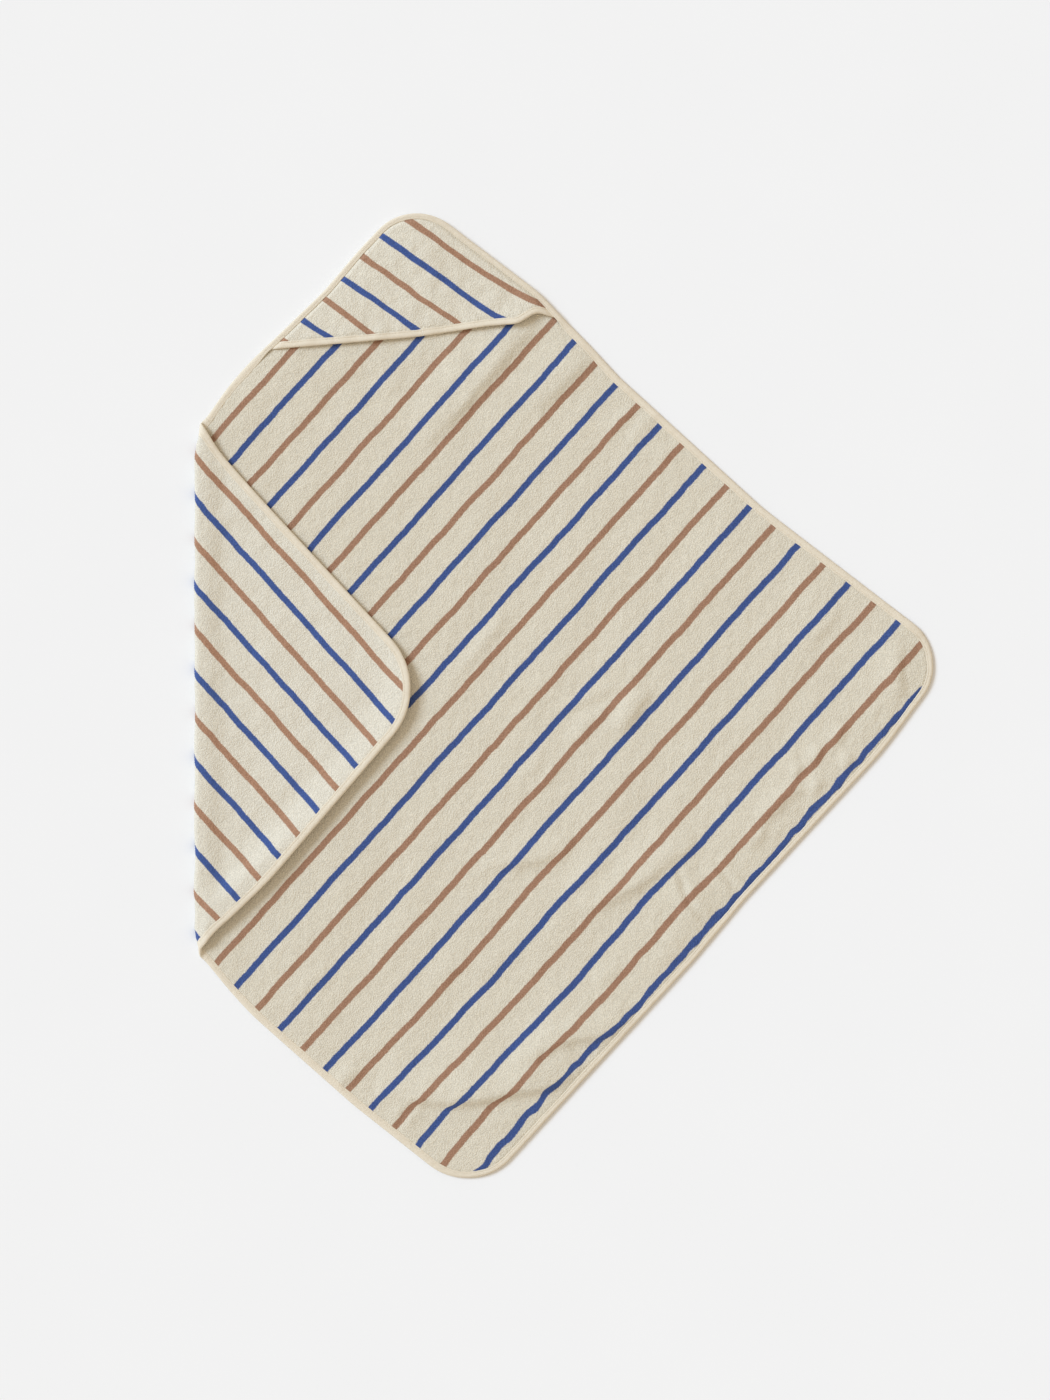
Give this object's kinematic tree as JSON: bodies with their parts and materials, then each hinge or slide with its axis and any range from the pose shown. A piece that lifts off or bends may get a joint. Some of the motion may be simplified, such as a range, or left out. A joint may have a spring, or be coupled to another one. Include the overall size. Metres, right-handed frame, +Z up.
{
  "type": "hooded baby towel",
  "caption": "Square striped terry towel with a triangular corner hood and bound edges, lying flat with one side corner folded over.",
  "frame": {"origin": "middle of the bounding box on the surface the towel lies on", "axes": "+Z up out of the towel's face; +Y towards the hood corner, along the folded corner's fold line; +X away from the folded corner"},
  "size_m": [0.7664, 0.9963, 0.0144],
  "materials": {
    "terry": "matte",
    "binding": "matte",
    "thread": "matte"
  },
  "bodies": {
    "towel_body": {"main_panel": "terry", "upper_left_binding": "binding", "upper_right_binding": "binding", "lower_right_binding": "binding", "lower_left_binding": "binding", "upper_left_stitching": "thread", "upper_right_stitching": "thread", "lower_right_stitching": "thread", "lower_left_stitching": "thread"},
    "side_corner": {"corner_panel": "terry", "corner_binding": "binding", "corner_stitching": "thread", "fold_panel": "terry", "fold_binding_lower": "binding", "fold_binding_upper": "binding"},
    "hood": {"hood_back_panel": "terry", "hood_panel_margin": "terry", "hood_corner_binding": "binding", "hood_corner_stitching": "thread"},
    "hood_front": {"hood_front_panel": "terry", "hood_front_binding": "binding", "hood_front_stitching": "thread"}
  },
  "joints": [
    {"name": "side_corner_unfold", "type": "hinge", "parent": "towel_body", "child": "side_corner", "pos_m": [-0.3815, 0, 0.0055], "axis": [0, -1, 0], "range_deg": [0, 179], "deforming": ["fold_panel", "fold_binding_lower", "fold_binding_upper"]},
    {"name": "hood_raise", "type": "hinge", "parent": "towel_body", "child": "hood", "pos_m": [-0.1555, 0.35225, 0.0035], "axis": [0.994, 0.1095, 0], "range_deg": [0, 95]},
    {"name": "hood_open", "type": "hinge", "parent": "hood", "child": "hood_front", "pos_m": [-0.17056, 0.48892, 0.0033], "axis": [-0.994, -0.1095, 0], "range_deg": [0, 20]}
  ]
}
